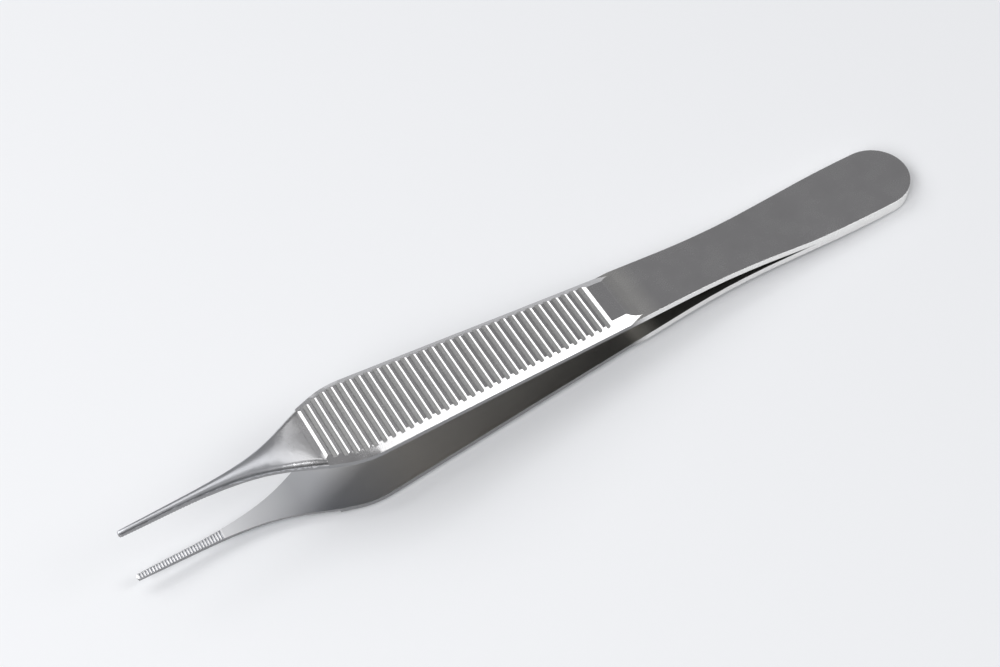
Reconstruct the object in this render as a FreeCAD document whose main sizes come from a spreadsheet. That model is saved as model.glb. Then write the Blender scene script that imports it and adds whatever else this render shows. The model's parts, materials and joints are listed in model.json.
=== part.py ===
import FreeCAD, Part
import math
import os

import Sketcher
from FreeCAD import Placement, Rotation, Vector

# Thumb forceps with a fine tip: two equal forged leaves, welded flat to flat at the tail.
# A leaf is drawn with its tip at X = 0, its tail towards +X, its inner face towards the
# middle plane Z = 0 and its outer face above it. A station is a distance from the tips.

# Driving sizes in millimetres, and degrees for the angle: name, value, what it is
SIZES = [
    ("overall_length", 119.6, "from the tips to the end of the tail"),
    ("leaf_thickness", 1.0, "spring leaf and each half of the tail"),
    ("slit_end", 101.8, "station where the welded tail ends and the leaves part"),
    ("bend_radius", 30.0, "short bend where a leaf leaves the weld"),
    ("spring_radius", 1440.0, "long sweep of the spring leaf"),
    ("grip_rear", 71.75, "station where the straight grip meets the spring leaf"),
    ("grip_angle", 4.1, "slope of the grip against the middle plane, degrees"),
    ("neck_rear", 33.0, "station where the straight grip starts to curve into the neck"),
    ("neck_radius", 272.0, "sweep of neck and jaw in side view"),
    ("blank_front", 26.9, "station where the grip ends and the neck begins"),
    ("land_height", 1.55, "outer face of the plain land above the inner face"),
    ("bevel_foot", 0.7, "lower edge of the grip's side bevel above the inner face"),
    ("land_length", 2.3, "plain land behind the last ridge"),
    ("ramp_radius", 5.0, "hollow ramp from the land down to the spring leaf"),
    ("ridge_height", 1.4, "top of a ridge above the inner face"),
    ("groove_depth", 0.21, "groove below the top of a ridge"),
    ("groove_floor", 0.42, "flat floor of a groove"),
    ("wall_run", 0.34, "run of a ridge's slope that faces the tips"),
    ("flank_run", 0.12, "run of a ridge's steeper slope that faces the tail"),
    ("ridge_pitch", 1.314, "from one ridge to the next"),
    ("groove_count", 32, "grooves across the grip"),
    ("lead_groove", 0.86, "wider groove where the neck runs up to the first ridge"),
    ("cutter_reach", 0.5, "height of the groove cutter above the groove floor"),
    ("bevel_run", 1.39, "bevel along the grip, measured across the land"),
    ("flare_angle", 20.0, "flare of the neck in plan at the grip, degrees"),
    ("blank_half_width", 4.96, "half width where the grip begins"),
    ("corner_radius", 12.0, "rounded shoulder in plan between the flare and the grip"),
    ("grip_half_width", 6.5, "half width at the widest point of the grip"),
    ("grip_side_radius", 5000.0, "hollow side of the grip in plan"),
    ("waist_station", 86.5, "station of the waist"),
    ("waist_half_width", 4.1, "half width at the waist"),
    ("waist_radius", 120.0, "hollow side of the waist in plan"),
    ("tail_station", 111.5, "station of the widest point of the tail"),
    ("tail_half_width", 5.2, "half width of the tail"),
    ("tooth_pitch", 0.41, "from one cross tooth of the jaw to the next"),
    ("tooth_depth", 0.12, "depth of the notch between two teeth"),
    ("tooth_count", 29, "notches across the jaw"),
    ("first_tooth", 0.3, "station of the first notch"),
    ("nose_radius", 0.45, "rounded end of the tip in plan"),
    ("nose_top_radius", 0.36, "rounded end of the tip in side view"),
]

# Jaw and neck, station by station: name, station, half width, height, shoulder radius and
# the radius of the crowned top
JAW_SECTIONS = [
    ("tip", 0.0, 0.40, 0.72, 0.34, 0.6),
    ("jaw", 6.0, 0.52, 0.90, 0.45, 0.8),
    ("jaw_root", 12.0, 0.74, 1.05, 0.62, 1.1),
    ("neck", 17.0, 1.36, 1.20, 1.00, 2.0),
    ("neck_flare", 21.0, 2.40, 1.32, 1.00, 5.0),
    ("neck_top", 25.0, 4.08, 1.36, 1.10, 60.0),
    ("neck_foot", 27.3, 5.05, 1.28, 0.85, 60.0),
]

doc = FreeCAD.newDocument("thumb_forceps")


def make_sheet():
    sheet = doc.addObject("Spreadsheet::Sheet", "Sizes")
    rows = list(SIZES)
    for name, station, half_width, height, shoulder, crown in JAW_SECTIONS:
        rows.append((name + "_station", station, "station of the section"))
        rows.append((name + "_half_width", half_width, "half width of the section"))
        rows.append((name + "_height", height, "height of the section"))
        rows.append((name + "_shoulder", shoulder, "rounding of the section's outer corners"))
        rows.append((name + "_crown", crown, "radius of the section's crowned top"))
    for row, (alias, value, note) in enumerate(rows, start=1):
        sheet.set("A%d" % row, alias)
        sheet.set("B%d" % row, str(value))
        sheet.set("C%d" % row, note)
        sheet.setAlias("B%d" % row, alias)
    doc.recompute()
    return sheet


sheet = make_sheet()


def size(alias):
    return float(sheet.get(alias))


def new_sketch(body, name, plane_role):
    sketch = body.newObject("Sketcher::SketchObject", name)
    plane = next(f for f in body.Origin.OriginFeatures if f.Role == plane_role)
    sketch.AttachmentSupport = [(plane, "")]
    sketch.MapMode = "FlatFace"
    return sketch


def bind(sketch, name, constraint, formula):
    """Add a named constraint whose value comes from the sheet."""
    sketch.addConstraint(constraint)
    sketch.renameConstraint(sketch.ConstraintCount - 1, name)
    sketch.setExpression("Constraints." + name, formula)


def measure(sketch, name, constraint):
    """Add a named reading of the solved sketch, which later features follow."""
    sketch.addConstraint(constraint)
    sketch.renameConstraint(sketch.ConstraintCount - 1, name)
    sketch.setDriving(sketch.ConstraintCount - 1, False)


def line(start, end):
    return Part.LineSegment(Vector(*start), Vector(*end))


def arc(centre, radius, from_angle, to_angle):
    circle = Part.Circle(Vector(*centre), Vector(0, 0, 1), radius)
    return Part.ArcOfCircle(circle, from_angle, to_angle)


# The ridges are laid out from the land forwards, in the grip's own frame: u runs along the
# grip towards the tail from the rear edge of the land, v stands up from the inner face.
SLOPE = "Sizes.wall_run / Sizes.groove_depth"
FLANK = "Sizes.flank_run / Sizes.groove_depth"
FLOOR = "(Sizes.ridge_height - Sizes.groove_depth)"
LAST_FOOT = "(-Sizes.land_length - (Sizes.land_height - %s) * %s)" % (FLOOR, SLOPE)
FIRST_FOOT = "(%s - Sizes.groove_count * Sizes.ridge_pitch)" % LAST_FOOT
RAMP_DROP = "(Sizes.land_height - Sizes.leaf_thickness)"
RAMP_RUN = "sqrt(2 * Sizes.ramp_radius * %s - pow(%s; 2))" % (RAMP_DROP, RAMP_DROP)


def ramp_run():
    """Length of the hollow ramp, as a number for first guesses."""
    drop = size("land_height") - size("leaf_thickness")
    return math.sqrt(2 * size("ramp_radius") * drop - drop**2)


def leaf_profile(body):
    """Side view of the plain strip: flat tail, bend, spring sweep, straight grip, neck sweep.
    Under the grip the strip is only as thick as the side walls below the bevel, and it
    thickens to the spring leaf under the ramp, where the bevel runs out."""
    sketch = new_sketch(body, "LeafProfile", "XZ_Plane")
    thick, foot = size("leaf_thickness"), size("bevel_foot")
    slope = math.radians(size("grip_angle"))
    bend, sweep, neck = size("bend_radius"), size("spring_radius"), size("neck_radius")
    run = size("slit_end") - size("grip_rear")
    lift = math.asin((math.sin(slope) - run / sweep) / (1 - bend / sweep))
    down = -math.pi / 2

    bend_centre = (size("slit_end"), bend, 0)
    parting = (bend_centre[0] - bend * math.sin(lift), bend - bend * math.cos(lift))
    sweep_centre = (parting[0] + sweep * math.sin(lift), parting[1] + sweep * math.cos(lift), 0)
    rear = (sweep_centre[0] - sweep * math.sin(slope), sweep_centre[1] - sweep * math.cos(slope))
    grip_run = size("grip_rear") - size("neck_rear")
    front = (size("neck_rear"), rear[1] + grip_run * math.tan(slope))
    neck_centre = (front[0] - neck * math.sin(slope), front[1] - neck * math.cos(slope), 0)
    end_slope = math.asin((size("blank_front") - neck_centre[0]) / neck)
    end = (size("blank_front"), neck_centre[1] + neck * math.cos(end_slope))
    step = (foot * math.sin(slope), foot * math.cos(slope))
    end_outer = (end[0] + foot * math.sin(end_slope), end[1] + foot * math.cos(end_slope))
    runout = math.asin((sweep_centre[0] - size("grip_rear") - 0.8 * ramp_run()) / (sweep - thick))
    full = (sweep_centre[0] - (sweep - thick) * math.sin(runout),
            sweep_centre[1] - (sweep - thick) * math.cos(runout))
    length = size("overall_length")

    edges = [
        line((length, 0, 0), (size("slit_end"), 0, 0)),
        arc(bend_centre, bend, down - lift, down),
        arc(sweep_centre, sweep, down - slope, down - lift),
        line((*rear, 0), (*front, 0)),
        arc(neck_centre, neck, -down - slope, -down - end_slope),
        line((*end, 0), (*end_outer, 0)),
        arc(neck_centre, neck + foot, -down - slope, -down - end_slope),
        line((front[0] + step[0], front[1] + step[1], 0), (rear[0] + step[0], rear[1] + step[1], 0)),
        arc(sweep_centre, sweep - thick, down - runout, down - lift),
        arc(bend_centre, bend - thick, down - lift, down),
        line((size("slit_end"), thick, 0), (length, thick, 0)),
        line((length, thick, 0), (length, 0, 0)),
        line((rear[0] + step[0], rear[1] + step[1], 0), (*full, 0)),
    ]
    sketch.addGeometry(edges, False)
    join = [
        ("Tangent", 0, 2, 1, 2), ("Tangent", 1, 1, 2, 2), ("Tangent", 2, 1, 3, 1),
        ("Tangent", 3, 2, 4, 1), ("Coincident", 4, 2, 5, 1), ("Coincident", 5, 2, 6, 2),
        ("Tangent", 6, 1, 7, 1), ("Coincident", 7, 2, 12, 1), ("Coincident", 12, 2, 8, 1),
        ("Tangent", 8, 2, 9, 1),
        ("Tangent", 9, 2, 10, 1), ("Coincident", 10, 2, 11, 1), ("Coincident", 11, 2, 0, 1),
        ("Coincident", 8, 3, 2, 3), ("Coincident", 9, 3, 1, 3), ("Coincident", 6, 3, 4, 3),
    ]
    for joint in join:
        sketch.addConstraint(Sketcher.Constraint(*joint))
    sketch.addConstraint(Sketcher.Constraint("PointOnObject", 0, 1, -1))
    sketch.addConstraint(Sketcher.Constraint("Horizontal", 0))
    sketch.addConstraint(Sketcher.Constraint("Horizontal", 10))
    sketch.addConstraint(Sketcher.Constraint("Vertical", 11))
    sketch.addConstraint(Sketcher.Constraint("Parallel", 3, 7))
    sketch.addConstraint(Sketcher.Constraint("PointOnObject", 4, 3, 5))
    bind(sketch, "length", Sketcher.Constraint("DistanceX", 0, 1, length), "Sizes.overall_length")
    bind(sketch, "slit", Sketcher.Constraint("DistanceX", 0, 2, size("slit_end")), "Sizes.slit_end")
    bind(sketch, "bend", Sketcher.Constraint("Radius", 1, bend), "Sizes.bend_radius")
    bind(sketch, "sweep", Sketcher.Constraint("Radius", 2, sweep), "Sizes.spring_radius")
    bind(sketch, "rear", Sketcher.Constraint("DistanceX", 3, 1, rear[0]), "Sizes.grip_rear")
    bind(sketch, "slope", Sketcher.Constraint("Angle", 3, math.pi - slope),
         "180 deg - Sizes.grip_angle * 1 deg")
    bind(sketch, "front", Sketcher.Constraint("DistanceX", 3, 2, front[0]), "Sizes.neck_rear")
    bind(sketch, "neck", Sketcher.Constraint("Radius", 4, neck), "Sizes.neck_radius")
    bind(sketch, "end", Sketcher.Constraint("DistanceX", 4, 2, end[0]), "Sizes.blank_front")
    bind(sketch, "thickness", Sketcher.Constraint("DistanceY", 11, 2, 11, 1, thick), "Sizes.leaf_thickness")
    bind(sketch, "foot", Sketcher.Constraint("Distance", 5, foot), "Sizes.bevel_foot")
    bind(sketch, "runout_start", Sketcher.Constraint("DistanceX", -1, 1, 7, 2, rear[0] + step[0]),
         "Sizes.grip_rear")
    bind(sketch, "runout_end", Sketcher.Constraint("DistanceX", -1, 1, 8, 1, full[0]),
         "Sizes.grip_rear + 0.8 * " + RAMP_RUN)
    measure(sketch, "rear_height", Sketcher.Constraint("DistanceY", 3, 1, rear[1]))
    measure(sketch, "neck_centre_x", Sketcher.Constraint("DistanceX", 4, 3, neck_centre[0]))
    measure(sketch, "neck_centre_z", Sketcher.Constraint("DistanceY", 4, 3, neck_centre[1]))
    doc.recompute()
    return sketch


def corner_outline(sketch, corners):
    """Closed outline of straight edges: name, first guess, u formula and v formula per corner."""
    count = len(corners)
    for index in range(count):
        start, end = corners[index][1], corners[(index + 1) % count][1]
        sketch.addGeometry(line((*start, 0), (*end, 0)), False)
    for index in range(count):
        sketch.addConstraint(Sketcher.Constraint("Coincident", index, 2, (index + 1) % count, 1))
    for index, (name, guess, along, up) in enumerate(corners):
        bind(sketch, name + "_u", Sketcher.Constraint("DistanceX", -1, 1, index, 1, guess[0]), along)
        bind(sketch, name + "_v", Sketcher.Constraint("DistanceY", -1, 1, index, 1, guess[1]), up)


def cut_through(body, name, profile):
    """Pocket that runs through the whole leaf, to both sides of the sketch."""
    pocket = body.newObject("PartDesign::Pocket", name)
    pocket.Profile = profile
    pocket.SideType = "Symmetric"
    pocket.Type = "ThroughAll"
    doc.recompute()
    return pocket


def full_width(body, name, profile):
    """Pad wider than the finished leaf, to both sides of the sketch."""
    pad = body.newObject("PartDesign::Pad", name)
    pad.Profile = profile
    pad.SideType = "Symmetric"
    pad.setExpression("Length", "2.5 * Sizes.grip_half_width * 1 mm")
    doc.recompute()
    return pad


def grip_sketch(body, profile, name):
    """Sketch in the grip's own frame."""
    sketch = new_sketch(body, name, "XZ_Plane")
    sketch.AttachmentOffset = Placement(Vector(0, 0, 0), Rotation(Vector(0, 0, -1), size("grip_angle")))
    sketch.setExpression("AttachmentOffset.Base.x", "Sizes.grip_rear * 1 mm")
    sketch.setExpression("AttachmentOffset.Base.y", profile.Name + ".Constraints.rear_height")
    sketch.setExpression("AttachmentOffset.Rotation.Angle", "Sizes.grip_angle * 1 deg")
    return sketch


def groove_stations():
    """First and last foot of the ridges' slopes, as numbers for first guesses."""
    rise = size("wall_run") / size("groove_depth")
    floor = size("ridge_height") - size("groove_depth")
    last = -size("land_length") - (size("land_height") - floor) * rise
    return last - size("groove_count") * size("ridge_pitch"), last, floor, rise


def grip_block(body, profile):
    """Full-height block of the grip, longer at both ends than the finished one."""
    first, last, floor, rise = groove_stations()
    land, base = size("land_height"), size("bevel_foot") / 2
    front, rear = first - 1, 2 * size("ramp_radius")
    front_formula = "%s - 1" % FIRST_FOOT
    rear_formula = "2 * Sizes.ramp_radius"
    sketch = grip_sketch(body, profile, "GripProfile")
    corner_outline(sketch, [
        ("front_low", (front, base), front_formula, "Sizes.bevel_foot / 2"),
        ("front_high", (front, land), front_formula, "Sizes.land_height"),
        ("rear_high", (rear, land), rear_formula, "Sizes.land_height"),
        ("rear_low", (rear, base), rear_formula, "Sizes.bevel_foot / 2"),
    ])
    full_width(body, "GripBlock", sketch)
    return sketch


def grip_ends(body, profile):
    """Front wall of the first ridge, and the hollow ramp from the land to the spring leaf."""
    first, last, floor, rise = groove_stations()
    land, thick, ramp = size("land_height"), size("leaf_thickness"), size("ramp_radius")
    high, far = 2 * land, 3 * ramp
    front = grip_sketch(body, profile, "FrontProfile")
    corner_outline(front, [
        ("low", (first, 0), FIRST_FOOT, "0"),
        ("foot", (first, floor), FIRST_FOOT, FLOOR),
        ("wall", (first + (high - floor) * rise, high),
         "%s + (2 * Sizes.land_height - %s) * %s" % (FIRST_FOOT, FLOOR, SLOPE), "2 * Sizes.land_height"),
        ("front_high", (first - 2, high), "%s - 2" % FIRST_FOOT, "2 * Sizes.land_height"),
        ("front_low", (first - 2, 0), "%s - 2" % FIRST_FOOT, "0"),
    ])
    cut_through(body, "FrontWall", front)

    run = ramp_run()
    sketch = grip_sketch(body, profile, "RampProfile")
    points = [(run, thick), (run, 0), (far, 0), (far, high), (0, high), (0, land)]
    for index in range(5):
        sketch.addGeometry(line((*points[index], 0), (*points[index + 1], 0)), False)
    half_turn = math.pi / 2 + math.asin(run / ramp)
    sketch.addGeometry(arc((run, thick + ramp, 0), ramp, -half_turn, -math.pi / 2), False)
    for index in range(4):
        sketch.addConstraint(Sketcher.Constraint("Coincident", index, 2, index + 1, 1))
    sketch.addConstraint(Sketcher.Constraint("Coincident", 4, 2, 5, 1))
    sketch.addConstraint(Sketcher.Constraint("Coincident", 5, 2, 0, 1))
    for edge, kind in enumerate(("Vertical", "Horizontal", "Vertical", "Horizontal", "Vertical")):
        sketch.addConstraint(Sketcher.Constraint(kind, edge))
    sketch.addConstraint(Sketcher.Constraint("PointOnObject", 0, 2, -1))
    sketch.addConstraint(Sketcher.Constraint("PointOnObject", 5, 1, -2))
    bind(sketch, "foot_u", Sketcher.Constraint("DistanceX", -1, 1, 0, 1, run), RAMP_RUN)
    bind(sketch, "foot_v", Sketcher.Constraint("DistanceY", -1, 1, 0, 1, thick), "Sizes.leaf_thickness")
    bind(sketch, "land_v", Sketcher.Constraint("DistanceY", -1, 1, 5, 1, land), "Sizes.land_height")
    bind(sketch, "high_v", Sketcher.Constraint("DistanceY", -1, 1, 3, 2, high), "2 * Sizes.land_height")
    bind(sketch, "far_u", Sketcher.Constraint("DistanceX", -1, 1, 2, 1, far), "3 * Sizes.ramp_radius")
    bind(sketch, "ramp", Sketcher.Constraint("Radius", 5, ramp), "Sizes.ramp_radius")
    cut_through(body, "Ramp", sketch)


def circle_crossing(first, first_radius, second, second_radius):
    """Upper crossing of two circles."""
    across = second - first
    along = (across.Length**2 + first_radius**2 - second_radius**2) / (2 * across.Length)
    up = math.sqrt(first_radius**2 - along**2)
    ahead = Vector(across).normalize()
    side = Vector(-ahead.y, ahead.x, 0)
    if side.y < 0:
        side = -side
    return first + ahead * along + side * up


def arc_between(centre, start, end):
    circle = Part.Circle(centre, Vector(0, 0, 1), (start - centre).Length)
    return Part.ArcOfCircle(circle, circle.parameter(start), circle.parameter(end))


def plan_outline(sketch, start, stretch, spread, along, wider):
    """Plan of the leaf from flare to round tail, on a sketch whose own x axis begins at the
    station "start" and counts "stretch" for each step of station. The outline stands "spread"
    outside the finished one. "along" and "wider" are the formulas of the two."""
    flare = math.radians(size("flare_angle"))
    corner = size("corner_radius") + spread
    side, waist = size("grip_side_radius") - spread, size("waist_radius") - spread
    half_tail = size("tail_half_width") + spread
    front_width = size("blank_half_width") + spread / math.cos(flare)
    length = (size("overall_length") - start) * stretch + spread
    front = (size("blank_front") - start) * stretch
    waist_x = (size("waist_station") - start) * stretch
    tail_x = (size("tail_station") - start) * stretch
    top = 2 * size("grip_half_width")

    normal = Vector(-math.sin(flare), math.cos(flare), 0)
    corner_y = size("grip_half_width") - size("corner_radius")
    corner_x = front + (corner + (corner_y - front_width) * normal.y) / -normal.x
    corner_centre = Vector(corner_x, corner_y, 0)
    flare_end = corner_centre + normal * corner
    flare_start = Vector(front - 1, front_width - math.tan(flare), 0)
    waist_centre = Vector(waist_x, size("waist_half_width") + size("waist_radius"), 0)
    side_centre = circle_crossing(corner_centre, side + corner, waist_centre, side - waist)
    side_start = corner_centre + (side_centre - corner_centre).normalize() * corner
    side_end = side_centre + (waist_centre - side_centre).normalize() * side

    gap = waist_centre.y - half_tail
    reach = tail_x - waist_x
    tail = (reach**2 + gap**2 - waist**2) / (2 * (waist - gap))
    tail_centre = Vector(tail_x, half_tail - tail, 0)
    tail_start = waist_centre + (tail_centre - waist_centre).normalize() * waist
    ahead = length - tail_centre.x
    end = (ahead**2 + half_tail**2 - 2 * tail * half_tail) / (2 * (ahead - tail))
    end_centre = Vector(length - end, 0, 0)
    tail_end = tail_centre + (end_centre - tail_centre).normalize() * tail

    sketch.addGeometry([
        Part.LineSegment(flare_start, flare_end),
        arc_between(corner_centre, side_start, flare_end),
        arc_between(side_centre, side_start, side_end),
        arc_between(waist_centre, side_end, tail_start),
        arc_between(tail_centre, tail_end, tail_start),
        arc_between(end_centre, Vector(length, 0, 0), tail_end),
        line((length, 0, 0), (length + 1, 0, 0)),
        line((length + 1, 0, 0), (length + 1, top, 0)),
        line((length + 1, top, 0), (front - 1, top, 0)),
        line((front - 1, top, 0), tuple(flare_start)),
    ], False)
    sketch.addGeometry(Part.Point(Vector(front, front_width, 0)), True)
    sketch.addGeometry(Part.Point(Vector(tail_x, half_tail, 0)), True)
    join = [
        ("Tangent", 0, 2, 1, 2), ("Tangent", 1, 1, 2, 1), ("Tangent", 2, 2, 3, 1),
        ("Tangent", 3, 2, 4, 2), ("Tangent", 4, 1, 5, 2), ("Coincident", 5, 1, 6, 1),
        ("Coincident", 6, 2, 7, 1), ("Coincident", 7, 2, 8, 1), ("Coincident", 8, 2, 9, 1),
        ("Coincident", 9, 2, 0, 1), ("PointOnObject", 5, 3, -1), ("PointOnObject", 5, 1, -1),
        ("Horizontal", 6), ("Vertical", 7), ("Horizontal", 8), ("Vertical", 9),
        ("PointOnObject", 10, 1, 0), ("PointOnObject", 11, 1, 4),
    ]
    for joint in join:
        sketch.addConstraint(Sketcher.Constraint(*joint))
    bind(sketch, "end", Sketcher.Constraint("DistanceX", -1, 1, 5, 1, length),
         along % "Sizes.overall_length" + " + " + wider)
    bind(sketch, "margin", Sketcher.Constraint("DistanceX", 6, 1, 6, 2, 1), "1 mm")
    bind(sketch, "top", Sketcher.Constraint("DistanceY", -1, 1, 8, 1, top), "2 * Sizes.grip_half_width")
    bind(sketch, "front", Sketcher.Constraint("DistanceX", -1, 1, 0, 1, front - 1),
         along % "Sizes.blank_front" + " - 1")
    bind(sketch, "flare", Sketcher.Constraint("Angle", 0, flare), "Sizes.flare_angle * 1 deg")
    bind(sketch, "flare_x", Sketcher.Constraint("DistanceX", -1, 1, 10, 1, front),
         along % "Sizes.blank_front")
    bind(sketch, "flare_y", Sketcher.Constraint("DistanceY", -1, 1, 10, 1, front_width),
         "Sizes.blank_half_width + %s / cos(Sizes.flare_angle * 1 deg)" % wider)
    bind(sketch, "corner", Sketcher.Constraint("Radius", 1, corner), "Sizes.corner_radius + " + wider)
    bind(sketch, "corner_y", Sketcher.Constraint("DistanceY", -1, 1, 1, 3, corner_y),
         "Sizes.grip_half_width - Sizes.corner_radius")
    bind(sketch, "side", Sketcher.Constraint("Radius", 2, side), "Sizes.grip_side_radius - " + wider)
    bind(sketch, "waist", Sketcher.Constraint("Radius", 3, waist), "Sizes.waist_radius - " + wider)
    bind(sketch, "waist_x", Sketcher.Constraint("DistanceX", -1, 1, 3, 3, waist_x),
         along % "Sizes.waist_station")
    bind(sketch, "waist_y", Sketcher.Constraint("DistanceY", -1, 1, 3, 3, waist_centre.y),
         "Sizes.waist_half_width + Sizes.waist_radius")
    bind(sketch, "tail_x", Sketcher.Constraint("DistanceX", -1, 1, 4, 3, tail_x),
         along % "Sizes.tail_station")
    bind(sketch, "crown_x", Sketcher.Constraint("DistanceX", -1, 1, 11, 1, tail_x),
         along % "Sizes.tail_station")
    bind(sketch, "crown_y", Sketcher.Constraint("DistanceY", -1, 1, 11, 1, half_tail),
         "Sizes.tail_half_width + " + wider)
    doc.recompute()


def both_sides(body, feature):
    """Repeat a cut on the other side of the leaf."""
    mirrored = body.newObject("PartDesign::Mirrored", feature.Name + "Mirrored")
    mirrored.Originals = [feature]
    plane = next(f for f in body.Origin.OriginFeatures if f.Role == "XZ_Plane")
    mirrored.MirrorPlane = (plane, [""])
    body.Tip = mirrored
    doc.recompute()


def trim(body, name, outline):
    """Cut away what lies outside the plan, on both sides."""
    both_sides(body, cut_through(body, name, outline))


def bevel_outline(body, profile, step):
    """Plan outline on a plane along the grip, "step" bevel heights above the foot of the
    bevel, and so much further in that the outlines of all steps lie on the bevel."""
    slope = math.radians(size("grip_angle"))
    level = size("bevel_foot") + step * (size("land_height") - size("bevel_foot"))
    level_formula = "(Sizes.bevel_foot + %s * (Sizes.land_height - Sizes.bevel_foot))" % step
    lean = "(Sizes.grip_angle * 1 deg)"
    start = size("grip_rear") + level * math.sin(slope)
    begin = "(Sizes.grip_rear + %s * sin(%s))" % (level_formula, lean)
    sketch = new_sketch(body, "BevelOutline", "XY_Plane")
    sketch.AttachmentOffset = Placement(Vector(0, 0, 0), Rotation(Vector(0, 1, 0), size("grip_angle")))
    sketch.setExpression("AttachmentOffset.Base.x", begin + " * 1 mm")
    sketch.setExpression("AttachmentOffset.Base.z", "%s.Constraints.rear_height + %s * cos(%s) * 1 mm"
                         % (profile.Name, level_formula, lean))
    sketch.setExpression("AttachmentOffset.Rotation.Angle", "Sizes.grip_angle * 1 deg")
    along = "(%s - " + begin + ") / cos(" + lean + ")"
    spread = -step * size("bevel_run")
    plan_outline(sketch, start, 1 / math.cos(slope), spread, along, "(%s * Sizes.bevel_run)" % -step)
    return sketch


def bevel(body, profile):
    """Flat bevel along both sides of the grip, cut by a tool that reaches past it both ways."""
    cutter = body.newObject("PartDesign::SubtractiveLoft", "Bevel")
    cutter.Profile = bevel_outline(body, profile, -0.5)
    cutter.Sections = [bevel_outline(body, profile, 1.5)]
    cutter.Ruled = True
    doc.recompute()
    both_sides(body, cutter)


def ridges(body, profile):
    """Lower the ridged stretch below the land, then cut the grooves across it."""
    first, last, floor, rise = groove_stations()
    ridge, reach = size("ridge_height"), size("cutter_reach")
    clear = first - size("lead_groove") - 1
    high = floor + reach
    wall_high = "%s + Sizes.cutter_reach * %s" % (LAST_FOOT, SLOPE)
    wall_low = "%s + Sizes.wall_run" % LAST_FOOT
    level = "%s + Sizes.cutter_reach" % FLOOR
    relief = grip_sketch(body, profile, "ReliefProfile")
    corner_outline(relief, [
        ("wall_low", (last + size("wall_run"), ridge), wall_low, "Sizes.ridge_height"),
        ("wall_high", (last + reach * rise, high), wall_high, level),
        ("front_high", (clear, high), "%s - Sizes.ridge_pitch" % FIRST_FOOT, level),
        ("front_low", (clear, ridge), "%s - Sizes.ridge_pitch" % FIRST_FOOT, "Sizes.ridge_height"),
    ])
    cut_through(body, "RidgeRelief", relief)

    groove = grip_sketch(body, profile, "GrooveProfile")
    flank = reach * size("flank_run") / size("groove_depth")
    corner_outline(groove, [
        ("foot", (last, floor), LAST_FOOT, FLOOR),
        ("wall", (last + reach * rise, high), wall_high, level),
        ("flank", (last - size("groove_floor") - flank, high),
         "%s - Sizes.groove_floor - Sizes.cutter_reach * %s" % (LAST_FOOT, FLANK), level),
        ("floor", (last - size("groove_floor"), floor), "%s - Sizes.groove_floor" % LAST_FOOT, FLOOR),
    ])
    pocket = cut_through(body, "Groove", groove)
    return repeat(body, "Grooves", pocket, groove, "Sizes.ridge_pitch", "Sizes.groove_count", True)


def repeat(body, name, feature, sketch, pitch, count, forwards):
    """Repeat a feature along the sketch's own long direction."""
    pattern = body.newObject("PartDesign::LinearPattern", name)
    pattern.Originals = [feature]
    pattern.Direction = (sketch, ["H_Axis"])
    pattern.Reversed = forwards
    pattern.Mode = "Spacing"
    pattern.setExpression("Offset", pitch + " * 1 mm")
    pattern.setExpression("Occurrences", count)
    body.Tip = pattern
    doc.recompute()
    return pattern


def jaw_section(body, profile, name):
    """Half-round section of neck or jaw: flat inner face, low sides, rounded shoulders and a
    crowned top."""
    sketch = new_sketch(body, "Section", "YZ_Plane")
    half, height = size(name + "_half_width"), size(name + "_height")
    shoulder, crown = size(name + "_shoulder"), size(name + "_crown")
    sketch.AttachmentOffset = Placement(Vector(0, 0, size(name + "_station")), Rotation())
    station = "Sizes.%s_station * 1 mm" % name
    behind = "max(0 mm; %s - %s.Constraints.neck_centre_x)" % (station, profile.Name)
    sweep = "sqrt(pow(Sizes.neck_radius * 1 mm; 2) - pow(%s; 2))" % behind
    sketch.setExpression("AttachmentOffset.Base.z", station)
    level = "%s.Constraints.neck_centre_z + %s" % (profile.Name, sweep)
    sketch.setExpression("AttachmentOffset.Base.y", level)
    inner = half - shoulder
    lean = math.asin(inner / (crown - shoulder))
    low = height - crown + (crown - shoulder) * math.cos(lean)
    up = math.pi / 2
    sketch.addGeometry([
        line((-half, 0, 0), (half, 0, 0)),
        line((half, 0, 0), (half, low, 0)),
        arc((inner, low, 0), shoulder, 0, up - lean),
        arc((0, height - crown, 0), crown, up - lean, up + lean),
        arc((-inner, low, 0), shoulder, up + lean, math.pi),
        line((-half, low, 0), (-half, 0, 0)),
    ], False)
    sketch.addGeometry(Part.Point(Vector(0, height, 0)), True)
    join = [
        ("Coincident", 0, 2, 1, 1), ("Tangent", 1, 2, 2, 1), ("Tangent", 2, 2, 3, 1),
        ("Tangent", 3, 2, 4, 1), ("Tangent", 4, 2, 5, 1), ("Coincident", 5, 2, 0, 1),
        ("Symmetric", 0, 1, 0, 2, -1, 1), ("Horizontal", 0), ("Vertical", 1), ("Vertical", 5),
        ("PointOnObject", 3, 3, -2), ("Equal", 2, 4), ("PointOnObject", 6, 1, -2), ("PointOnObject", 6, 1, 3),
    ]
    for joint in join:
        sketch.addConstraint(Sketcher.Constraint(*joint))
    bind(sketch, "width", Sketcher.Constraint("DistanceX", 0, 1, 0, 2, 2 * half),
         "2 * Sizes.%s_half_width" % name)
    bind(sketch, "height", Sketcher.Constraint("DistanceY", -1, 1, 6, 1, height), "Sizes.%s_height" % name)
    bind(sketch, "crown", Sketcher.Constraint("Radius", 3, crown), "Sizes.%s_crown" % name)
    bind(sketch, "shoulder", Sketcher.Constraint("Radius", 2, shoulder), "Sizes.%s_shoulder" % name)
    return sketch


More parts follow.
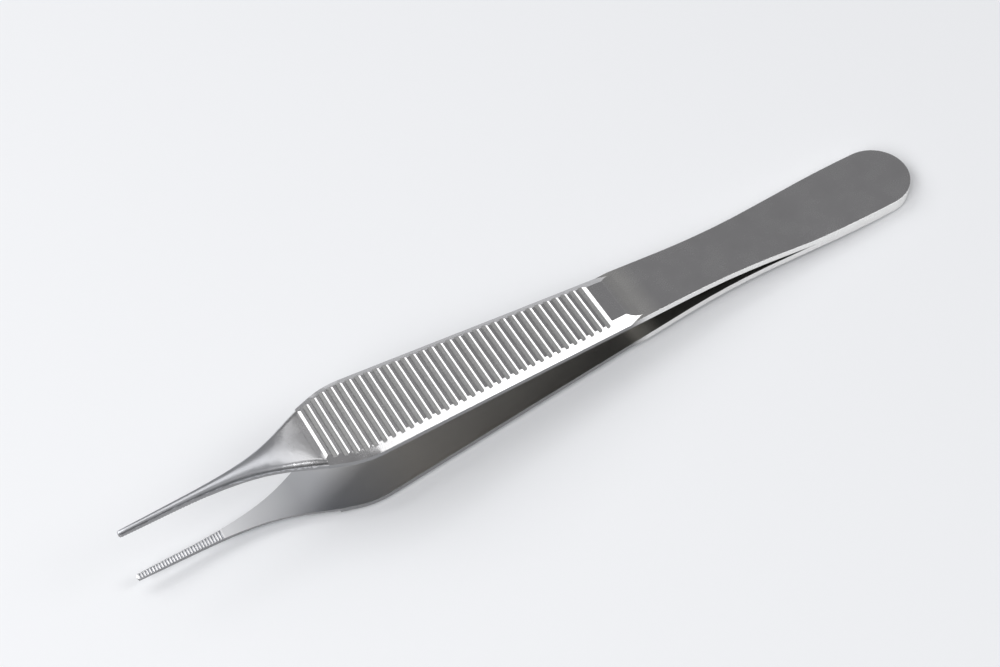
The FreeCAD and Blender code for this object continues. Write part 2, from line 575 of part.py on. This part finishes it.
def jaw(body, profile):
    """Neck and jaw, drawn out from the front of the grip to the fine tip."""
    sections = [jaw_section(body, profile, row[0]) for row in JAW_SECTIONS]
    doc.recompute()
    loft = body.newObject("PartDesign::AdditiveLoft", "Jaw")
    loft.Profile = sections[0]
    loft.Sections = sections[1:]
    doc.recompute()
    return loft


def lead_groove(body, profile):
    """Wide groove where the smooth neck runs up to the first ridge."""
    first, last, floor, rise = groove_stations()
    reach, lead = size("cutter_reach"), size("lead_groove")
    level = "%s + Sizes.cutter_reach" % FLOOR
    sketch = grip_sketch(body, profile, "LeadProfile")
    corner_outline(sketch, [
        ("foot", (first, floor), FIRST_FOOT, FLOOR),
        ("wall", (first + reach * rise, floor + reach),
         "%s + Sizes.cutter_reach * %s" % (FIRST_FOOT, SLOPE), level),
        ("lip", (first - lead - reach, floor + reach),
         "%s - Sizes.lead_groove - Sizes.cutter_reach" % FIRST_FOOT, level),
        ("floor", (first - lead, floor), "%s - Sizes.lead_groove" % FIRST_FOOT, FLOOR),
    ])
    return cut_through(body, "LeadGroove", sketch)


def nose(body, profile):
    """Rounded end of the tip, in plan and in side view."""
    radius = size("nose_radius")
    plan = new_sketch(body, "NosePlan", "XY_Plane")
    points = [(radius, radius), (radius, 2 * radius), (-radius, 2 * radius),
              (-radius, -2 * radius), (radius, -2 * radius), (radius, -radius)]
    for index in range(5):
        plan.addGeometry(line((*points[index], 0), (*points[index + 1], 0)), False)
    plan.addGeometry(arc((radius, 0, 0), radius, math.pi / 2, 3 * math.pi / 2), False)
    join = [
        ("Coincident", 0, 2, 1, 1), ("Coincident", 1, 2, 2, 1), ("Coincident", 2, 2, 3, 1),
        ("Coincident", 3, 2, 4, 1), ("Coincident", 4, 2, 5, 2), ("Coincident", 5, 1, 0, 1),
        ("Vertical", 0), ("Horizontal", 1), ("Vertical", 2), ("Horizontal", 3), ("Vertical", 4),
        ("PointOnObject", 5, 3, -1), ("PointOnObject", 5, 3, 0), ("Equal", 0, 4),
    ]
    for joint in join:
        plan.addConstraint(Sketcher.Constraint(*joint))
    bind(plan, "radius", Sketcher.Constraint("Radius", 5, radius), "Sizes.nose_radius")
    bind(plan, "tip", Sketcher.Constraint("DistanceX", -1, 1, 5, 3, radius), "Sizes.nose_radius")
    bind(plan, "side", Sketcher.Constraint("DistanceY", -1, 1, 0, 2, 2 * radius), "2 * Sizes.nose_radius")
    bind(plan, "ahead", Sketcher.Constraint("DistanceX", 1, 2, -1, 1, radius), "Sizes.nose_radius")
    cut_through(body, "NosePlanCut", plan)

    radius, rise = size("nose_top_radius"), size("tip_height")
    top = profile.getDatum("neck_centre_z").Value + size("neck_radius") + rise
    centre = top - 0.95 * radius
    side = new_sketch(body, "NoseSide", "XZ_Plane")
    points = [(radius, centre + radius), (radius, top + rise), (-radius, top + rise),
              (-radius, centre), (0, centre)]
    for index in range(4):
        side.addGeometry(line((*points[index], 0), (*points[index + 1], 0)), False)
    side.addGeometry(arc((radius, centre, 0), radius, math.pi / 2, math.pi), False)
    join = [
        ("Coincident", 0, 2, 1, 1), ("Coincident", 1, 2, 2, 1), ("Coincident", 2, 2, 3, 1),
        ("Coincident", 3, 2, 4, 2), ("Coincident", 4, 1, 0, 1), ("Vertical", 0), ("Horizontal", 1),
        ("Vertical", 2), ("Horizontal", 3), ("PointOnObject", 4, 3, 3), ("PointOnObject", 4, 3, 0),
    ]
    for joint in join:
        side.addConstraint(Sketcher.Constraint(*joint))
    face = "%s.Constraints.neck_centre_z + Sizes.neck_radius * 1 mm" % profile.Name
    bind(side, "radius", Sketcher.Constraint("Radius", 4, radius), "Sizes.nose_top_radius")
    bind(side, "tip", Sketcher.Constraint("DistanceX", -1, 1, 4, 3, radius), "Sizes.nose_top_radius")
    bind(side, "centre", Sketcher.Constraint("DistanceY", -1, 1, 4, 3, centre),
         face + " + (Sizes.tip_height - 0.95 * Sizes.nose_top_radius) * 1 mm")
    bind(side, "above", Sketcher.Constraint("DistanceY", -1, 1, 0, 2, top + rise),
         face + " + 2 * Sizes.tip_height * 1 mm")
    bind(side, "ahead", Sketcher.Constraint("DistanceX", 1, 2, -1, 1, radius), "Sizes.nose_top_radius")
    cut_through(body, "NoseSideCut", side)


def teeth(body, profile, first_tooth):
    """Fine cross teeth on the inner face of the jaw."""
    sketch = new_sketch(body, "ToothProfile", "XZ_Plane")
    face = profile.getDatum("neck_centre_z").Value + size("neck_radius")
    depth = size("tooth_depth")
    station = size("first_tooth")
    inner = "%s.Constraints.neck_centre_z + Sizes.neck_radius * 1 mm" % profile.Name
    corner_outline(sketch, [
        ("root", (station, face + depth), first_tooth, "%s + Sizes.tooth_depth * 1 mm" % inner),
        ("left", (station - 2 * depth, face - depth),
         "%s - 2 * Sizes.tooth_depth" % first_tooth, "%s - Sizes.tooth_depth * 1 mm" % inner),
        ("right", (station + 2 * depth, face - depth),
         "%s + 2 * Sizes.tooth_depth" % first_tooth, "%s - Sizes.tooth_depth * 1 mm" % inner),
    ])
    notch = cut_through(body, "Tooth", sketch)
    return repeat(body, "Teeth", notch, sketch, "Sizes.tooth_pitch", "Sizes.tooth_count", False)


def check(body):
    for feature in [body] + list(body.Group):
        if "Invalid" in feature.State or "Error" in feature.State:
            raise RuntimeError("%s: %s" % (feature.Label, feature.State))
    if body.Shape.isNull() or not body.Shape.isValid() or len(body.Shape.Solids) != 1:
        raise RuntimeError("%s has no single valid solid" % body.Label)


def build_leaf(name, first_tooth):
    body = doc.addObject("PartDesign::Body", name)
    body.Label = name
    profile = leaf_profile(body)
    outline = new_sketch(body, "PlanOutline", "XY_Plane")
    plan_outline(outline, 0, 1, 0, "%s", "0")
    grip_block(body, profile)
    trim(body, "GripTrim", outline)
    bevel(body, profile)
    grip_ends(body, profile)
    full_width(body, "SpringLeaf", profile)
    trim(body, "LeafTrim", outline)
    ridges(body, profile)
    jaw(body, profile)
    lead_groove(body, profile)
    nose(body, profile)
    teeth(body, profile, first_tooth)
    return body


def rest_pose(upper, lower):
    """Lay the pair down: it comes to rest on the lower leaf's first ridge and the end of its tail."""
    first, last, floor, rise = groove_stations()
    slope = math.radians(size("grip_angle"))
    u, v = first + size("wall_run"), size("ridge_height")
    rear_height = upper.Group[0].getDatum("rear_height").Value
    ridge_x = size("grip_rear") + u * math.cos(slope) + v * math.sin(slope)
    ridge_z = rear_height - u * math.sin(slope) + v * math.cos(slope)
    fall = math.degrees(math.atan2(ridge_z - size("leaf_thickness"), size("overall_length") - ridge_x))
    tilt = Rotation(Vector(0, 1, 0), fall)
    upper.Placement = Placement(Vector(0, 0, 0), tilt)
    lower.Placement = Placement(Vector(0, 0, 0), tilt * Rotation(Vector(1, 0, 0), 180))
    doc.recompute()
    low, high = lower.Shape.optimalBoundingBox(), upper.Shape.optimalBoundingBox()
    middle = (min(low.XMin, high.XMin) + max(low.XMax, high.XMax)) / 2
    shift = Vector(-middle, 0, -low.ZMin)
    upper.Placement = Placement(shift, upper.Placement.Rotation)
    lower.Placement = Placement(shift, lower.Placement.Rotation)
    doc.recompute()


upper_leaf = build_leaf("upper_leaf", "Sizes.first_tooth")
lower_leaf = build_leaf("lower_leaf", "Sizes.first_tooth + Sizes.tooth_pitch / 2")
rest_pose(upper_leaf, lower_leaf)
os.makedirs("parts", exist_ok=True)
for leaf in (upper_leaf, lower_leaf):
    check(leaf)
    leaf.Shape.exportStep("parts/%s.step" % leaf.Label)
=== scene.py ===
import json
import math

import bpy
from mathutils import Matrix, Vector

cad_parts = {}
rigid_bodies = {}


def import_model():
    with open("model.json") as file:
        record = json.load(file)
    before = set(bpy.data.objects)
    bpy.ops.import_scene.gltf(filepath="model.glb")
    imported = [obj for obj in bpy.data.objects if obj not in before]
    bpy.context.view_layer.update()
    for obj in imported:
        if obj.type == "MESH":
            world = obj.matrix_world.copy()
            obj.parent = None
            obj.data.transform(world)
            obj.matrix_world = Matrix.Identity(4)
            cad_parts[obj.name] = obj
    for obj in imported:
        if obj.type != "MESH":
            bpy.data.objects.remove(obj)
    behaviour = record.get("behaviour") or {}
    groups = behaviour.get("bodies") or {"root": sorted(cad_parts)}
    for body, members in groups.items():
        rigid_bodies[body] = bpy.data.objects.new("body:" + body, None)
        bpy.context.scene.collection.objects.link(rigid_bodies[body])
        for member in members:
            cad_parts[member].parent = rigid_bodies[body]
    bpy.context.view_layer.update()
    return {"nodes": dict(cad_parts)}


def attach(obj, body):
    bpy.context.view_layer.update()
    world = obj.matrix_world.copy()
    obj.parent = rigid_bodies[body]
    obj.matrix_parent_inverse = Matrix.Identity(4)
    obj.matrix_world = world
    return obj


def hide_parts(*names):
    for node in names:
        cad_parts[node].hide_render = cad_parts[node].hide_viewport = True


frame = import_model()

# Upper leaf: one forging of martensitic stainless steel, ground, hardened and finished satin.
# The sides of its spring carry a painted highlight and those of its grip painted shade, the
# grooves of its grip keep the matte grain of the blasting with painted shade on the lower half of
# each wall, and every arris is broken by tumbling.
MILLIMETRE = 0.001

# How the leaf lies in the row, and its sloping grip in the leaf, with places in millimetres.
REST_TILT = math.radians(3.3408)
REST_SHIFT = Vector((-59.563, 0.0, 7.968))
GRIP_SLOPE = math.radians(4.1)
GRIP_REAR = Vector((71.75, 0.0, 1.799))

# Stations along the leaf from its tip, in millimetres.
NECK_START = 18.0
FIRST_RIDGE = 27.2
GRIP_FRONT = 36.0
SPRING_START = 75.0
WELD_START = 101.0

# The upward part of a wide face's normal is at least the first, and that of a side at most the
# second. The inner edge is rounded less than the spring, by the share below.
WIDE_FACE = 0.9
UPRIGHT = 0.3
INNER_ROUNDING = 0.65


def in_leaf(point, turned_over):
    """A point of the row, in metres, in the leaf's own frame in millimetres."""
    return turned_to_leaf(point / MILLIMETRE - REST_SHIFT, turned_over)


def turned_to_leaf(direction, turned_over):
    """A direction of the row in the leaf's own frame."""
    way = Matrix.Rotation(-REST_TILT, 3, "Y") @ direction
    return Vector((way.x, -way.y, -way.z)) if turned_over else way


def turned_to_grip(direction):
    """A direction of the leaf in the frame of its sloping grip."""
    return Matrix.Rotation(-GRIP_SLOPE, 3, "Y") @ direction


def rounding_weights(mesh, turned_over):
    """Weights for the edges that the polishing belt rounds: the outer edges of spring and tail,
    and the inner edge from the neck to the weld."""
    faces_of = {}
    for face in mesh.polygons:
        for key in face.edge_keys:
            faces_of.setdefault(key, []).append(face)
    weights = mesh.attributes.new("bevel_weight_edge", "FLOAT", "EDGE")
    for edge in mesh.edges:
        pair = faces_of.get(edge.key, [])
        if len(pair) != 2:
            continue
        low, high = sorted(turned_to_leaf(face.normal, turned_over).z for face in pair)
        middle = (mesh.vertices[edge.vertices[0]].co + mesh.vertices[edge.vertices[1]].co) / 2
        station = in_leaf(middle, turned_over).x
        if station > SPRING_START and abs(low) < UPRIGHT and high > WIDE_FACE:
            weights.data[edge.index].value = 1.0
        elif station < WELD_START and low < -WIDE_FACE and abs(high) < UPRIGHT:
            share = min(max((station - NECK_START) / (GRIP_FRONT - NECK_START), 0.0), 1.0)
            weights.data[edge.index].value = INNER_ROUNDING * share


# Upward parts of a normal that tell apart the finishes and the faces that carry painted light,
# the last two in the grip's frame, and how far a groove's wall may turn sideways.
INNER_FACE = -0.8
SPRING_SIDE = 0.93
RIM_LOW = -0.95
RIM_HIGH = -0.25
GROOVE_FLOOR = 0.95
GROOVE_WALL = 0.1
WALL_SIDEWAYS = 0.3

# Heights in the grip's frame, in millimetres.
RIDGE_TOP = 1.40
BELOW_RIDGE_TOP = 0.02


def finish_and_light_zones(mesh, turned_over):
    """One value per face for each zone of finish and of painted light, and the station and height
    of each vertex.
    """
    zones = {"inner_face": [], "side": [], "rim": [], "groove_floor": [], "groove_wall": []}
    for face in mesh.polygons:
        way = turned_to_leaf(face.normal, turned_over)
        spot = in_leaf(face.center, turned_over)
        grip_up = turned_to_grip(way).z
        ridged = FIRST_RIDGE < spot.x < GRIP_REAR.x
        cut_in = ridged and turned_to_grip(spot - GRIP_REAR).z < RIDGE_TOP - BELOW_RIDGE_TOP
        walled = GROOVE_WALL < grip_up < GROOVE_FLOOR and abs(way.y) < WALL_SIDEWAYS
        side_top = SPRING_SIDE if spot.x > SPRING_START else UPRIGHT
        zones["inner_face"].append(way.z < INNER_FACE)
        zones["side"].append(-UPRIGHT < way.z < side_top)
        zones["rim"].append(RIM_LOW < way.z < RIM_HIGH and spot.x > FIRST_RIDGE)
        zones["groove_floor"].append(cut_in and grip_up > GROOVE_FLOOR)
        zones["groove_wall"].append(cut_in and walled)
    for name, values in zones.items():
        layer = mesh.attributes.new(name, "FLOAT", "FACE")
        layer.data.foreach_set("value", [float(value) for value in values])
    spots = [in_leaf(vertex.co, turned_over) for vertex in mesh.vertices]
    heights = [turned_to_grip(spot - GRIP_REAR).z for spot in spots]
    for name, values in (("station", [spot.x for spot in spots]), ("grip_height", heights)):
        layer = mesh.attributes.new(name, "FLOAT", "POINT")
        layer.data.foreach_set("value", values)


def add_node(tree, kind, **inputs):
    node = tree.nodes.new(kind)
    for name, value in inputs.items():
        node.inputs[name.replace("_", " ")].default_value = value
    return node


def maths(tree, operation, first, second):
    node = tree.nodes.new("ShaderNodeMath")
    node.operation = operation
    for index, value in enumerate((first, second)):
        if isinstance(value, (int, float)):
            node.inputs[index].default_value = value
        else:
            tree.links.new(value, node.inputs[index])
    return node.outputs[0]


def ramp(tree, value, start, end, low=0.0, high=1.0):
    node = tree.nodes.new("ShaderNodeMapRange")
    tree.links.new(value, node.inputs["Value"])
    node.inputs["From Min"].default_value = start
    node.inputs["From Max"].default_value = end
    node.inputs["To Min"].default_value = low
    node.inputs["To Max"].default_value = high
    return node.outputs["Result"]


def zone(tree, name):
    node = tree.nodes.new("ShaderNodeAttribute")
    node.attribute_name = name
    return node.outputs["Fac"]


def blend(tree, factor, first, second):
    """A mix of two tones. The node's colour sockets are 6 and 7, and its colour output is 2."""
    node = tree.nodes.new("ShaderNodeMix")
    node.data_type = "RGBA"
    for socket, value in ((0, factor), (6, first), (7, second)):
        if isinstance(value, tuple):
            node.inputs[socket].default_value = value
        else:
            tree.links.new(value, node.inputs[socket])
    return node.outputs[2]


# Tones of the steel and of the light and shade painted on it, as linear colours.
SATIN_DARK = (0.575, 0.57, 0.575, 1)
SATIN_LIGHT = (0.595, 0.59, 0.595, 1)
NECK_SATIN = (0.555, 0.565, 0.59, 1)
# Painted highlight on the teeth.
TEETH_HIGHLIGHT = (0.84, 0.84, 0.85, 1)
BEHIND_TEETH = (0.60, 0.605, 0.62, 1)
# Painted shade on the inner face, from the neck to the weld, between the two leaves.
INNER_NECK_SHADE = (0.33, 0.335, 0.35, 1)
INNER_GRIP_SHADE = (0.45, 0.44, 0.425, 1)
INNER_SPRING_SHADE = (0.34, 0.335, 0.325, 1)
# Painted highlight on the ramp.
RAMP_HIGHLIGHT = (0.78, 0.77, 0.74, 1)
# Painted shade on the grip's sides, and a painted highlight on the spring's sides and on the
# inner rim.
GRIP_SIDE_SHADE = (0.30, 0.30, 0.305, 1)
PAINTED_HIGHLIGHT = (0.97, 0.965, 0.95, 1)
BLASTED_DARK = (0.38, 0.38, 0.375, 1)
BLASTED_LIGHT = (0.62, 0.62, 0.615, 1)
# Painted shade for the foot of a groove wall.
WALL_FOOT_SHADE = (0.20, 0.20, 0.20, 1)

# Where one tone passes into the next: the stations at which it starts and is complete.
TO_NECK = (27.0, 20.0)
BEHIND_LAST_TOOTH = (12.0, 12.4)
TO_INNER_NECK = (13.0, 23.0)
TO_INNER_GRIP = (26.0, 38.0)
TO_INNER_SPRING = (40.0, 66.0)
RAMP_FRONT = (71.6, 73.0)
RAMP_BACK = (77.0, 74.6)
RAMP_STRENGTH = 0.7
TO_SPRING_SIDE = (71.8, 74.5)

# Height in the grip's frame below which a groove's wall carries painted shade, and half of the
# passage.
WALL_MIDDLE = 1.285
WALL_FADE = 0.03

# Roughness of the satin, how far the grain changes it, what each other finish adds to it, and
# the stations over which the neck gets its own.
SATIN_ROUGHNESS = (0.24, 0.28)
GRAIN_ROUGHNESS = 0.02
BLASTED_ADDS = 0.26
INNER_FACE_ADDS = 0.06
RIM_ADDS = 0.55
NECK_ADDS = 0.09
NECK_ROUGHENS = (26.0, 18.0)

# Fine grain and slow clouds of the steel: scales per millimetre, the noise levels that give the
# two ends of a tone or roughness, and the height of the grain.
GRAIN_SCALE = 7.0
CLOUD_SCALE = 0.3
NOISE_SPREAD = (0.3, 0.7)
SPECKLE_SPREAD = (0.38, 0.62)
GRAIN_HEIGHT = 0.02 * MILLIMETRE


def leaf_steel(name):
    """Stainless steel whose tone and roughness follow the finish of each face, with painted light
    and shade on some faces.
    """
    material = bpy.data.materials.new(name)
    material.use_nodes = True
    tree = material.node_tree
    shader = tree.nodes["Principled BSDF"]
    shader.inputs["Metallic"].default_value = 1.0
    place = tree.nodes.new("ShaderNodeTexCoord").outputs["Object"]
    scaled = tree.nodes.new("ShaderNodeMapping")
    scaled.inputs["Scale"].default_value = (1 / MILLIMETRE, 1 / MILLIMETRE, 1 / MILLIMETRE)
    tree.links.new(place, scaled.inputs["Vector"])
    inner, side = zone(tree, "inner_face"), zone(tree, "side")
    rim, floor, wall = zone(tree, "rim"), zone(tree, "groove_floor"), zone(tree, "groove_wall")
    station, height = zone(tree, "station"), zone(tree, "grip_height")
    low_wall = ramp(tree, height, WALL_MIDDLE + WALL_FADE, WALL_MIDDLE - WALL_FADE)
    shaded_wall_foot = maths(tree, "MULTIPLY", wall, low_wall)
    blasted = maths(tree, "MAXIMUM", floor, shaded_wall_foot)

    grain = add_node(tree, "ShaderNodeTexNoise", Scale=GRAIN_SCALE, Detail=5.0, Roughness=0.75)
    tree.links.new(scaled.outputs[0], grain.inputs["Vector"])
    cloud = add_node(tree, "ShaderNodeTexNoise", Scale=CLOUD_SCALE, Detail=2.0)
    tree.links.new(scaled.outputs[0], cloud.inputs["Vector"])
    grain_level, cloud_level = grain.outputs["Fac"], cloud.outputs["Fac"]

    # Outer faces, cooler on the neck.
    tone = blend(tree, ramp(tree, cloud_level, *NOISE_SPREAD), SATIN_DARK, SATIN_LIGHT)
    tone = blend(tree, ramp(tree, station, *TO_NECK), tone, NECK_SATIN)
    # Inner face, from the teeth to the weld: a painted highlight on the teeth, then painted shade
    # from the neck to the weld, where the leaves face each other.
    teeth_highlight = blend(tree, ramp(tree, station, *BEHIND_LAST_TOOTH), TEETH_HIGHLIGHT, BEHIND_TEETH)
    neck = blend(tree, ramp(tree, station, *TO_INNER_NECK), teeth_highlight, INNER_NECK_SHADE)
    under_grip_shade = blend(tree, ramp(tree, station, *TO_INNER_GRIP), neck, INNER_GRIP_SHADE)
    inner_shade = blend(tree, ramp(tree, station, *TO_INNER_SPRING), under_grip_shade, INNER_SPRING_SHADE)
    tone = blend(tree, inner, tone, inner_shade)
    # Painted highlight on the ramp between the land and the spring.
    ramp_highlight = maths(tree, "MULTIPLY", ramp(tree, station, *RAMP_FRONT),
                    ramp(tree, station, *RAMP_BACK, high=RAMP_STRENGTH))
    tone = blend(tree, ramp_highlight, tone, RAMP_HIGHLIGHT)
    # Upright sides, with painted shade as far as the grip's rear and a painted highlight behind
    # it, and a painted highlight on the inner rim.
    side_shade_and_highlight = blend(tree, ramp(tree, station, *TO_SPRING_SIDE), GRIP_SIDE_SHADE, PAINTED_HIGHLIGHT)
    tone = blend(tree, side, tone, side_shade_and_highlight)
    tone = blend(tree, rim, tone, PAINTED_HIGHLIGHT)
    # Grooves of the grip, blasted up to the middle of each wall, with painted shade on the wall
    # below that middle.
    speckle = blend(tree, ramp(tree, grain_level, *SPECKLE_SPREAD), BLASTED_DARK, BLASTED_LIGHT)
    tone = blend(tree, blasted, tone, speckle)
    tone = blend(tree, shaded_wall_foot, tone, WALL_FOOT_SHADE)
    tree.links.new(tone, shader.inputs["Base Color"])

    rough = ramp(tree, cloud_level, *NOISE_SPREAD, *SATIN_ROUGHNESS)
    grainy = ramp(tree, grain_level, *NOISE_SPREAD, -GRAIN_ROUGHNESS, GRAIN_ROUGHNESS)
    rough = maths(tree, "ADD", rough, grainy)
    for finish, added in ((blasted, BLASTED_ADDS), (inner, INNER_FACE_ADDS), (rim, RIM_ADDS)):
        rough = maths(tree, "ADD", rough, maths(tree, "MULTIPLY", finish, added))
    rough = maths(tree, "ADD", rough, ramp(tree, station, *NECK_ROUGHENS, high=NECK_ADDS))
    tree.links.new(rough, shader.inputs["Roughness"])

    bump = add_node(tree, "ShaderNodeBump", Strength=0.10, Distance=GRAIN_HEIGHT)
    tree.links.new(grain_level, bump.inputs["Height"])
    tree.links.new(bump.outputs[0], shader.inputs["Normal"])
    return material


# Roundings of the spring and of every other arris, and the angle from which an edge is one.
SPRING_ROUNDING = 0.30 * MILLIMETRE
SPRING_SEGMENTS = 5
ARRIS = 0.025 * MILLIMETRE
ARRIS_SEGMENTS = 2
ARRIS_ANGLE = math.radians(24)

# Corners closer than the first are one, faces closer to flat than the second are one face, and
# those that meet at less than the third are shaded as one surface.
SAME_CORNER = 0.002 * MILLIMETRE
SAME_FACE = math.radians(0.4)
SMOOTH_ANGLE = math.radians(32)
FLAT_WEIGHT = 90


def add_bevel(leaf, name, width, segments, limit):
    bevel = leaf.modifiers.new(name, "BEVEL")
    bevel.width = width
    bevel.segments = segments
    bevel.limit_method = limit
    bevel.angle_limit = ARRIS_ANGLE
    bpy.ops.object.modifier_apply(modifier=bevel.name)


def finished_leaf(node_name, turned_over):
    """The leaf's solid with its long edges rounded, its other arrises broken and its steel on."""
    bpy.ops.object.select_all(action="DESELECT")
    node = frame["nodes"][node_name]
    node.select_set(True)
    bpy.context.view_layer.objects.active = node
    bpy.ops.object.duplicate()
    leaf = bpy.context.view_layer.objects.active
    leaf.name = node_name + "_finished"
    bpy.ops.object.parent_clear(type="CLEAR_KEEP_TRANSFORM")
    bpy.ops.object.mode_set(mode="EDIT")
    bpy.ops.mesh.select_all(action="SELECT")
    bpy.ops.mesh.remove_doubles(threshold=SAME_CORNER)
    bpy.ops.mesh.dissolve_limited(angle_limit=SAME_FACE)
    bpy.ops.object.mode_set(mode="OBJECT")
    bpy.ops.mesh.customdata_custom_splitnormals_clear()
    rounding_weights(leaf.data, turned_over)
    add_bevel(leaf, "belt rounding", SPRING_ROUNDING, SPRING_SEGMENTS, "WEIGHT")
    add_bevel(leaf, "broken arrises", ARRIS, ARRIS_SEGMENTS, "ANGLE")
    finish_and_light_zones(leaf.data, turned_over)
    bpy.ops.object.shade_smooth_by_angle(angle=SMOOTH_ANGLE)
    flats = leaf.modifiers.new("flats kept flat", "WEIGHTED_NORMAL")
    flats.mode = "FACE_AREA"
    flats.weight = FLAT_WEIGHT
    flats.keep_sharp = True
    bpy.ops.object.modifier_apply(modifier=flats.name)
    leaf.data.materials.clear()
    leaf.data.materials.append(leaf_steel(node_name + " steel"))
    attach(leaf, "root")
    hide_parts(node_name)


finished_leaf("upper_leaf", turned_over=False)

# Lower leaf: the same forging turned over, in the same steel and finish. It is welded to the
# upper one at the tail, and the weld is ground flush.
finished_leaf("lower_leaf", turned_over=True)

# Table: a plain pale surface under the forceps, lit by the same lamps. It ends behind the
# forceps, so that their far bevels mirror the dim room and not the table.
TABLE_PLACE = (0.01, -0.035, 0)
TABLE_SIZE = (0.42, 0.33, 1)
TABLE_TONE = (0.85, 0.86, 0.88, 1)
TABLE_ROUGHNESS = 0.7


def plain_surface(name, place, turn, size, material_name, tone, roughness):
    """A flat rectangle in one colour."""
    bpy.ops.object.select_all(action="DESELECT")
    bpy.ops.mesh.primitive_plane_add(size=1, location=place, rotation=turn)
    surface = bpy.context.object
    surface.name = name
    surface.scale = size
    material = bpy.data.materials.new(material_name)
    material.use_nodes = True
    shader = material.node_tree.nodes["Principled BSDF"]
    shader.inputs["Base Color"].default_value = tone
    shader.inputs["Roughness"].default_value = roughness
    surface.data.materials.append(material)
    return surface


table = plain_surface("table", TABLE_PLACE, (0, 0, 0), TABLE_SIZE,
                      "pale table", TABLE_TONE, TABLE_ROUGHNESS)

# Dark card: stands upright on the near side, out of the picture, so that the edges turned down
# towards it read dark.
CARD_PLACE = (0, -0.58, 0.21)
CARD_TURN = (math.radians(90), 0, 0)
CARD_SIZE = (1.2, 0.42, 1)
CARD_TONE = (0.04, 0.04, 0.04, 1)
CARD_ROUGHNESS = 0.5
card = plain_surface("dark_card", CARD_PLACE, CARD_TURN, CARD_SIZE,
                     "dark card", CARD_TONE, CARD_ROUGHNESS)


# Lamps: softboxes from the far left, the right and the left of the near side, a mild one
# almost overhead for the jaws, and a dim room with a pale backdrop.
def softbox(name, direction, distance, side, power):
    bpy.ops.object.select_all(action="DESELECT")
    place = Vector(direction).normalized() * distance
    bpy.ops.object.light_add(type="AREA", location=place)
    lamp = bpy.context.object
    lamp.name = name
    lamp.data.shape = "SQUARE"
    lamp.data.size = side
    lamp.data.energy = power
    lamp.rotation_euler = (-place).to_track_quat("-Z", "Y").to_euler()


softbox("far left softbox", (-0.52, 0.53, 0.67), distance=0.80, side=0.50, power=2.0)
softbox("near right softbox", (0.57, -0.42, 0.70), distance=0.75, side=0.32, power=1.3)
softbox("mild overhead softbox", (-0.09, 0.36, 0.93), distance=0.80, side=0.53, power=1.06)
softbox("near left softbox", (-0.66, -0.32, 0.68), distance=0.80, side=0.45, power=3.0)

ROOM_TONE = (0.26, 0.26, 0.265, 1)
BACKDROP_TONE = (0.86, 0.865, 0.88, 1)
world = bpy.data.worlds.new("dim room")
bpy.context.scene.world = world
world.use_nodes = True
air = world.node_tree
room = air.nodes["Background"]
room.inputs["Color"].default_value = ROOM_TONE
backdrop = air.nodes.new("ShaderNodeBackground")
backdrop.inputs["Color"].default_value = BACKDROP_TONE
seen = air.nodes.new("ShaderNodeMixShader")
rays = air.nodes.new("ShaderNodeLightPath")
air.links.new(rays.outputs["Is Camera Ray"], seen.inputs[0])
air.links.new(room.outputs[0], seen.inputs[1])
air.links.new(backdrop.outputs[0], seen.inputs[2])
air.links.new(seen.outputs[0], air.nodes["World Output"].inputs["Surface"])

# Camera: above the near side and towards the tips, with its place, turn and lens fitted to the
# photograph.
CAMERA_PLACE = (-0.05395, -0.134579, 0.216968)
CAMERA_TURN = [math.radians(angle) for angle in (34.4854, 6.6356, -29.7119)]
CAMERA_LENS = 69.26
NEAREST_SEEN = 0.01
bpy.ops.object.select_all(action="DESELECT")
bpy.ops.object.camera_add(location=CAMERA_PLACE, rotation=CAMERA_TURN)
camera = bpy.context.object
camera.data.lens = CAMERA_LENS
camera.data.clip_start = NEAREST_SEEN
bpy.context.scene.camera = camera
bpy.context.scene.view_settings.view_transform = "Standard"
